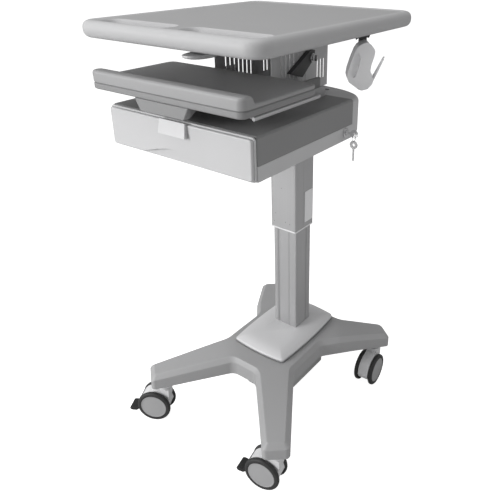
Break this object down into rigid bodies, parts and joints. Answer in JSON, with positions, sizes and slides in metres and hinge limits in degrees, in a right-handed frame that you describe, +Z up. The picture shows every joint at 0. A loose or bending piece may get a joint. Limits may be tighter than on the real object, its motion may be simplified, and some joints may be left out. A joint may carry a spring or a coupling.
{
  "type": "medication cart",
  "caption": "Mobile cart with a worktop, sliding keyboard tray and lockable drawer on a telescopic column, over a four-arm base with twin-wheel swivel casters.",
  "frame": {"origin": "on the column's axis at floor level", "axes": "+Z up along the column, -Y towards the front where the drawer opens, +X to the right seen from the front"},
  "size_m": [0.6189, 0.695, 1.1646],
  "materials": {
    "pale_plastic": "satin moulded plastic",
    "light_plastic": "satin moulded plastic",
    "mid_plastic": "fine-grained moulded plastic",
    "base_plastic": "satin moulded plastic",
    "dark_plastic": "matte",
    "white_plastic": "semi-gloss moulded plastic",
    "black_plastic": "matte",
    "tyre_rubber": "matte rubber",
    "anodised_aluminium": "satin anodised",
    "painted_steel": "powder coat",
    "zinc_steel": "zinc plated",
    "chrome": "bright plated"
  },
  "bodies": {
    "base": {"base_cover": "base_plastic", "base_frame": "painted_steel", "ballast_box": "base_plastic", "column_cover_plate": "pale_plastic", "lower_column": "anodised_aluminium", "gas_spring_cylinder": "black_plastic"},
    "lift": {"lift_sleeve": "anodised_aluminium", "sleeve_trim_ring": "white_plastic", "sleeve_plate": "pale_plastic", "gas_spring_rod": "chrome", "housing_base": "light_plastic", "housing_cover": "mid_plastic", "rear_cover": "light_plastic", "mast_bracket": "zinc_steel", "worktop": "pale_plastic", "worktop_underside": "mid_plastic", "worktop_bracket": "painted_steel", "vent_cage": "painted_steel", "cage_lock_bracket": "dark_plastic", "drawer_lock_barrel": "chrome", "drawer_slide_left": "zinc_steel", "drawer_slide_right": "zinc_steel", "tray_slide_left": "zinc_steel", "tray_slide_right": "zinc_steel", "holder_mount": "dark_plastic", "scanner_holder": "white_plastic"},
    "drawer": {"drawer_front": "light_plastic", "drawer_box": "dark_plastic", "label_holder": "pale_plastic"},
    "keyboard_tray": {"tray_lower_shell": "mid_plastic", "tray_upper_shell": "mid_plastic", "tray_front_housing": "mid_plastic", "tray_side_rail_left": "anodised_aluminium", "tray_side_rail_right": "anodised_aluminium"},
    "height_lever": {"height_lever": "light_plastic"},
    "drawer_key": {"drawer_lock_key": "chrome"},
    "hanging_key": {"spare_key": "zinc_steel"},
    "cage_lock": {"cage_cam_lock": "chrome"},
    "caster_front_left_swivel": {"caster_front_left_hood": "pale_plastic"},
    "caster_front_left_inner_wheel": {"caster_front_left_inner_tyre": "tyre_rubber", "caster_front_left_inner_hub": "mid_plastic"},
    "caster_front_left_outer_wheel": {"caster_front_left_outer_tyre": "tyre_rubber", "caster_front_left_outer_hub": "mid_plastic"},
    "caster_front_left_brake": {"caster_front_left_brake_pedal": "black_plastic"},
    "caster_front_right_swivel": {"caster_front_right_hood": "pale_plastic"},
    "caster_front_right_inner_wheel": {"caster_front_right_inner_tyre": "tyre_rubber", "caster_front_right_inner_hub": "mid_plastic"},
    "caster_front_right_outer_wheel": {"caster_front_right_outer_tyre": "tyre_rubber", "caster_front_right_outer_hub": "mid_plastic"},
    "caster_front_right_brake": {"caster_front_right_brake_pedal": "black_plastic"},
    "caster_rear_right_swivel": {"caster_rear_right_hood": "pale_plastic"},
    "caster_rear_right_inner_wheel": {"caster_rear_right_inner_tyre": "tyre_rubber", "caster_rear_right_inner_hub": "mid_plastic"},
    "caster_rear_right_outer_wheel": {"caster_rear_right_outer_tyre": "tyre_rubber", "caster_rear_right_outer_hub": "mid_plastic"},
    "caster_rear_left_swivel": {"caster_rear_left_hood": "pale_plastic"},
    "caster_rear_left_inner_wheel": {"caster_rear_left_inner_tyre": "tyre_rubber", "caster_rear_left_inner_hub": "mid_plastic"},
    "caster_rear_left_outer_wheel": {"caster_rear_left_outer_tyre": "tyre_rubber", "caster_rear_left_outer_hub": "mid_plastic"}
  },
  "joints": [
    {"name": "lift_height", "type": "slide", "parent": "base", "child": "lift", "axis": [0, 0, 1], "range_m": [-0.25, 0.1]},
    {"name": "drawer_slide", "type": "slide", "parent": "lift", "child": "drawer", "axis": [0, -1, 0], "range_m": [0, 0.28]},
    {"name": "keyboard_tray_slide", "type": "slide", "parent": "lift", "child": "keyboard_tray", "axis": [0, -1, 0], "range_m": [0, 0.15]},
    {"name": "height_lever_pull", "type": "hinge", "parent": "lift", "child": "height_lever", "pos_m": [0.071, -0.385, 1.1215], "axis": [-1, 0, 0], "range_deg": [0, 6], "stiffness_Nm_per_rad": 0.6, "springref_deg": -6.88},
    {"name": "drawer_key_turn", "type": "hinge", "parent": "lift", "child": "drawer_key", "pos_m": [0.2151, -0.0813, 0.905], "axis": [1, 0, 0], "range_deg": [0, 90]},
    {"name": "hanging_key_swing", "type": "hinge", "parent": "drawer_key", "child": "hanging_key", "pos_m": [0.2391, -0.0813, 0.904], "axis": [1, 0, 0], "range_deg": [-20, 20]},
    {"name": "cage_lock_turn", "type": "hinge", "parent": "lift", "child": "cage_lock", "pos_m": [0.099, -0.0546, 1.0645], "axis": [1, 0, 0], "range_deg": [0, 90]},
    {"name": "caster_front_left_swivel", "type": "hinge", "parent": "base", "child": "caster_front_left_swivel", "pos_m": [-0.2092, -0.3577, 0.12], "axis": [0, 0, 1], "continuous": true},
    {"name": "caster_front_left_inner_wheel_spin", "type": "hinge", "parent": "caster_front_left_swivel", "child": "caster_front_left_inner_wheel", "pos_m": [-0.24696, -0.35059, 0.05], "axis": [0.4695, -0.8829, 0], "continuous": true},
    {"name": "caster_front_left_outer_wheel_spin", "type": "hinge", "parent": "caster_front_left_swivel", "child": "caster_front_left_outer_wheel", "pos_m": [-0.22442, -0.39298, 0.05], "axis": [0.4695, -0.8829, 0], "continuous": true},
    {"name": "caster_front_left_brake_press", "type": "hinge", "parent": "caster_front_left_swivel", "child": "caster_front_left_brake", "pos_m": [-0.27807, -0.39432, 0.029], "axis": [0.4695, -0.8829, 0], "range_deg": [0, 8]},
    {"name": "caster_front_right_swivel", "type": "hinge", "parent": "base", "child": "caster_front_right_swivel", "pos_m": [0.2092, -0.3577, 0.12], "axis": [0, 0, 1], "continuous": true},
    {"name": "caster_front_right_inner_wheel_spin", "type": "hinge", "parent": "caster_front_right_swivel", "child": "caster_front_right_inner_wheel", "pos_m": [0.17517, -0.33986, 0.05], "axis": [0.1908, -0.9816, 0], "continuous": true},
    {"name": "caster_front_right_outer_wheel_spin", "type": "hinge", "parent": "caster_front_right_swivel", "child": "caster_front_right_outer_wheel", "pos_m": [0.18433, -0.38698, 0.05], "axis": [0.1908, -0.9816, 0], "continuous": true},
    {"name": "caster_front_right_brake_press", "type": "hinge", "parent": "caster_front_right_swivel", "child": "caster_front_right_brake", "pos_m": [0.13263, -0.37258, 0.029], "axis": [0.1908, -0.9816, 0], "range_deg": [0, 8]},
    {"name": "caster_rear_right_swivel", "type": "hinge", "parent": "base", "child": "caster_rear_right_swivel", "pos_m": [0.2092, 0.1659, 0.12], "axis": [0, 0, 1], "continuous": true},
    {"name": "caster_rear_right_inner_wheel_spin", "type": "hinge", "parent": "caster_rear_right_swivel", "child": "caster_rear_right_inner_wheel", "pos_m": [0.1868, 0.13468, 0.05], "axis": [0.9986, 0.0523, 0], "continuous": true},
    {"name": "caster_rear_right_outer_wheel_spin", "type": "hinge", "parent": "caster_rear_right_swivel", "child": "caster_rear_right_outer_wheel", "pos_m": [0.23474, 0.1372, 0.05], "axis": [0.9986, 0.0523, 0], "continuous": true},
    {"name": "caster_rear_left_swivel", "type": "hinge", "parent": "base", "child": "caster_rear_left_swivel", "pos_m": [-0.2092, 0.1659, 0.12], "axis": [0, 0, 1], "continuous": true},
    {"name": "caster_rear_left_inner_wheel_spin", "type": "hinge", "parent": "caster_rear_left_swivel", "child": "caster_rear_left_inner_wheel", "pos_m": [-0.21344, 0.20408, 0.05], "axis": [-0.7071, -0.7071, 0], "continuous": true},
    {"name": "caster_rear_left_outer_wheel_spin", "type": "hinge", "parent": "caster_rear_left_swivel", "child": "caster_rear_left_outer_wheel", "pos_m": [-0.24738, 0.17014, 0.05], "axis": [-0.7071, -0.7071, 0], "continuous": true}
  ]
}
